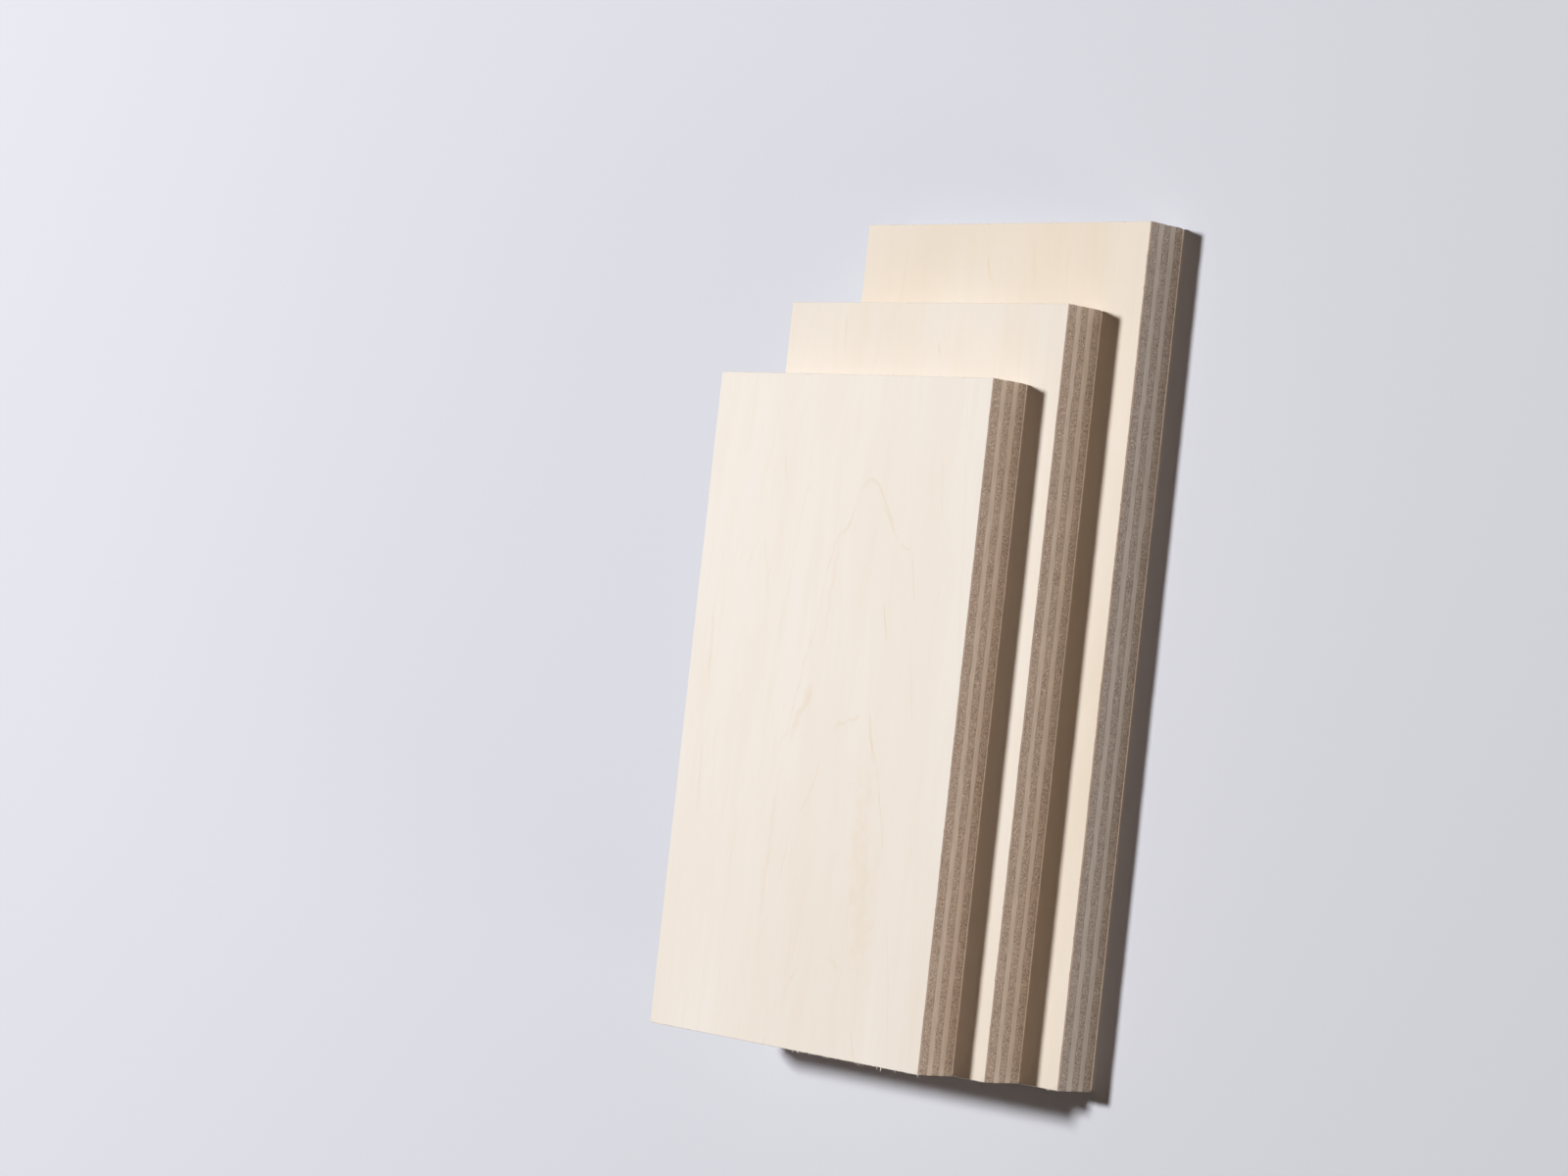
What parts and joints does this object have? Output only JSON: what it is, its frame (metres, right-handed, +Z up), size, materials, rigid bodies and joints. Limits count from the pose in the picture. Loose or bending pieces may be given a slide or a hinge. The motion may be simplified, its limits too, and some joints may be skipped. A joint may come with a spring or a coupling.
{
  "type": "plywood sheet stack",
  "caption": "Staggered stack of small cut plywood sheets lying flat, pale faces up, with the plies showing on the sawn edges.",
  "frame": {"origin": "middle of the largest sheet's lower face, on the floor", "axes": "+Z up, out of the faces; +Y along the sheets, towards the stepped end; +X across them, towards the side where each lower sheet stands further out"},
  "size_m": [0.124, 0.212, 0.036],
  "materials": {
    "face_wood": "fine sanded pale veneer",
    "cross_wood": "sawn end grain on the long sides",
    "long_wood": "sawn side grain on the long sides"
  },
  "bodies": {
    "root": {"large_sheet_back_veneer": "face_wood", "large_sheet_lower_cross_ply": "cross_wood", "large_sheet_lower_long_ply": "long_wood", "large_sheet_centre_cross_ply": "cross_wood", "large_sheet_upper_long_ply": "long_wood", "large_sheet_upper_cross_ply": "cross_wood", "large_sheet_face_veneer": "face_wood", "middle_sheet_back_veneer": "face_wood", "middle_sheet_lower_cross_ply": "cross_wood", "middle_sheet_lower_long_ply": "long_wood", "middle_sheet_centre_cross_ply": "cross_wood", "middle_sheet_upper_long_ply": "long_wood", "middle_sheet_upper_cross_ply": "cross_wood", "middle_sheet_face_veneer": "face_wood", "small_sheet_back_veneer": "face_wood", "small_sheet_lower_cross_ply": "cross_wood", "small_sheet_lower_long_ply": "long_wood", "small_sheet_centre_cross_ply": "cross_wood", "small_sheet_upper_long_ply": "long_wood", "small_sheet_upper_cross_ply": "cross_wood", "small_sheet_face_veneer": "face_wood"}
  },
  "joints": []
}
